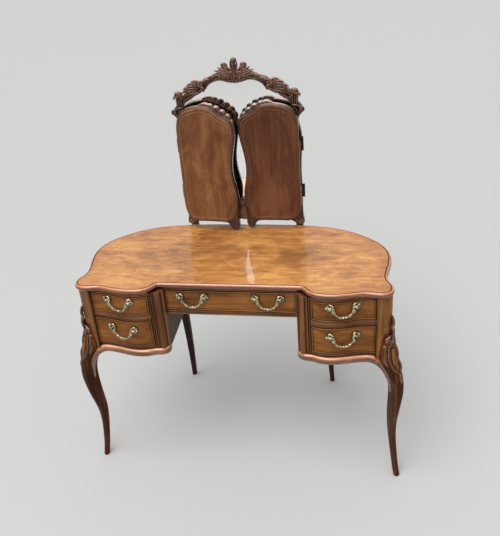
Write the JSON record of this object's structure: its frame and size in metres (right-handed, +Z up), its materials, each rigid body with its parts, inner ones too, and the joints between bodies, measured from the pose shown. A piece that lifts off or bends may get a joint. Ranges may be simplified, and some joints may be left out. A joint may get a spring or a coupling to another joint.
{
  "type": "vanity table with mirror",
  "caption": "Kidney-shaped kneehole dressing table with serpentine pedestals, carved cabriole front legs, bail-handled drawers and a folding triple mirror in a carved frame.",
  "frame": {"origin": "on the floor under the middle of the object's outline", "axes": "+X to the user's right as they face the table, +Y to the back, +Z up"},
  "size_m": [1.0578, 0.5434, 1.344],
  "materials": {
    "walnut_top": "polished, figured, golden brown",
    "walnut_edge": "polished moulding, red-brown",
    "walnut_leg": "polished, brown",
    "walnut_dark": "polished, dark brown",
    "walnut_case": "polished, brown",
    "walnut_drawer": "polished, straight grain",
    "walnut_carved": "carved and polished, dark brown",
    "plain_timber": "unpolished, dull grey-brown",
    "drawer_timber": "unpolished, pale",
    "left_board": "stained board, tan brown, satin",
    "right_board": "stained board, red-brown, satin",
    "antique_brass": "antique, worn",
    "mirror_glass": "silvered glass",
    "steel": "dull"
  },
  "bodies": {
    "table": {"top_panel": "walnut_top", "top_edge_moulding": "walnut_edge", "front_leg_left": "walnut_leg", "back_leg_left": "walnut_dark", "side_panel_left": "walnut_case", "inner_side_left": "plain_timber", "apron_left": "walnut_edge", "front_leg_right": "walnut_leg", "back_leg_right": "walnut_dark", "side_panel_right": "walnut_case", "inner_side_right": "plain_timber", "apron_right": "walnut_edge", "inner_columns": "walnut_case", "pedestal_bottoms": "plain_timber", "front_top_rails": "walnut_case", "divider_rails": "walnut_case", "centre_apron_rail": "walnut_case", "back_boards": "walnut_case", "drawer_runners": "plain_timber", "centre_frame": "walnut_carved", "mirror_crest": "walnut_carved", "centre_glass": "mirror_glass", "centre_backboard": "plain_timber", "mirror_struts": "plain_timber", "strut_screws": "steel", "fixed_hinge_leaves": "antique_brass"},
    "left_upper_drawer": {"left_upper_drawer_front": "walnut_drawer", "left_upper_drawer_box": "drawer_timber", "left_upper_drawer_bottom": "drawer_timber", "left_upper_bosses": "antique_brass"},
    "left_upper_handle": {"left_upper_bail": "antique_brass"},
    "left_lower_drawer": {"left_lower_drawer_front": "walnut_drawer", "left_lower_drawer_box": "drawer_timber", "left_lower_drawer_bottom": "drawer_timber", "left_lower_bosses": "antique_brass"},
    "left_lower_handle": {"left_lower_bail": "antique_brass"},
    "right_upper_drawer": {"right_upper_drawer_front": "walnut_drawer", "right_upper_drawer_box": "drawer_timber", "right_upper_drawer_bottom": "drawer_timber", "right_upper_bosses": "antique_brass"},
    "right_upper_handle": {"right_upper_bail": "antique_brass"},
    "right_lower_drawer": {"right_lower_drawer_front": "walnut_drawer", "right_lower_drawer_box": "drawer_timber", "right_lower_drawer_bottom": "drawer_timber", "right_lower_bosses": "antique_brass"},
    "right_lower_handle": {"right_lower_bail": "antique_brass"},
    "centre_drawer": {"centre_drawer_front": "walnut_drawer", "centre_drawer_box": "drawer_timber", "centre_drawer_bottom": "drawer_timber", "centre_bosses": "antique_brass"},
    "centre_left_handle": {"centre_left_bail": "antique_brass"},
    "centre_right_handle": {"centre_right_bail": "antique_brass"},
    "left_wing": {"left_wing_backboard": "left_board", "left_wing_frame": "walnut_carved", "left_wing_glass": "mirror_glass", "left_wing_hinges": "antique_brass"},
    "right_wing": {"right_wing_backboard": "right_board", "right_wing_frame": "walnut_carved", "right_wing_glass": "mirror_glass", "right_wing_hinges": "antique_brass"}
  },
  "joints": [
    {"name": "left_upper_drawer_slide", "type": "slide", "parent": "table", "child": "left_upper_drawer", "axis": [0, -1, 0], "range_m": [0, 0.18]},
    {"name": "left_upper_bail_swing", "type": "hinge", "parent": "left_upper_drawer", "child": "left_upper_handle", "pos_m": [-0.34617, -0.25926, 0.714], "axis": [-0.9804, 0.1972, 0], "range_deg": [0, 95]},
    {"name": "left_lower_drawer_slide", "type": "slide", "parent": "table", "child": "left_lower_drawer", "axis": [0, -1, 0], "range_m": [0, 0.18]},
    {"name": "left_lower_bail_swing", "type": "hinge", "parent": "left_lower_drawer", "child": "left_lower_handle", "pos_m": [-0.34617, -0.25926, 0.608], "axis": [-0.9804, 0.1972, 0], "range_deg": [0, 95]},
    {"name": "right_upper_drawer_slide", "type": "slide", "parent": "table", "child": "right_upper_drawer", "axis": [0, -1, 0], "range_m": [0, 0.18]},
    {"name": "right_upper_bail_swing", "type": "hinge", "parent": "right_upper_drawer", "child": "right_upper_handle", "pos_m": [0.34617, -0.25926, 0.714], "axis": [-0.9804, -0.1972, 0], "range_deg": [0, 95]},
    {"name": "right_lower_drawer_slide", "type": "slide", "parent": "table", "child": "right_lower_drawer", "axis": [0, -1, 0], "range_m": [0, 0.18]},
    {"name": "right_lower_bail_swing", "type": "hinge", "parent": "right_lower_drawer", "child": "right_lower_handle", "pos_m": [0.34617, -0.25926, 0.608], "axis": [-0.9804, -0.1972, 0], "range_deg": [0, 95]},
    {"name": "centre_drawer_slide", "type": "slide", "parent": "table", "child": "centre_drawer", "axis": [0, -1, 0], "range_m": [0, 0.22]},
    {"name": "centre_left_bail_swing", "type": "hinge", "parent": "centre_drawer", "child": "centre_left_handle", "pos_m": [-0.118, -0.21934, 0.708], "axis": [-1, 0, 0], "range_deg": [0, 95]},
    {"name": "centre_right_bail_swing", "type": "hinge", "parent": "centre_drawer", "child": "centre_right_handle", "pos_m": [0.118, -0.21934, 0.708], "axis": [-1, 0, 0], "range_deg": [0, 95]},
    {"name": "left_wing_hinge", "type": "hinge", "parent": "table", "child": "left_wing", "pos_m": [-0.206, 0.16566, 0.975], "axis": [0, 0, -1], "range_deg": [-6, 159]},
    {"name": "right_wing_hinge", "type": "hinge", "parent": "table", "child": "right_wing", "pos_m": [0.206, 0.16566, 0.975], "axis": [0, 0, 1], "range_deg": [0, 165]}
  ]
}
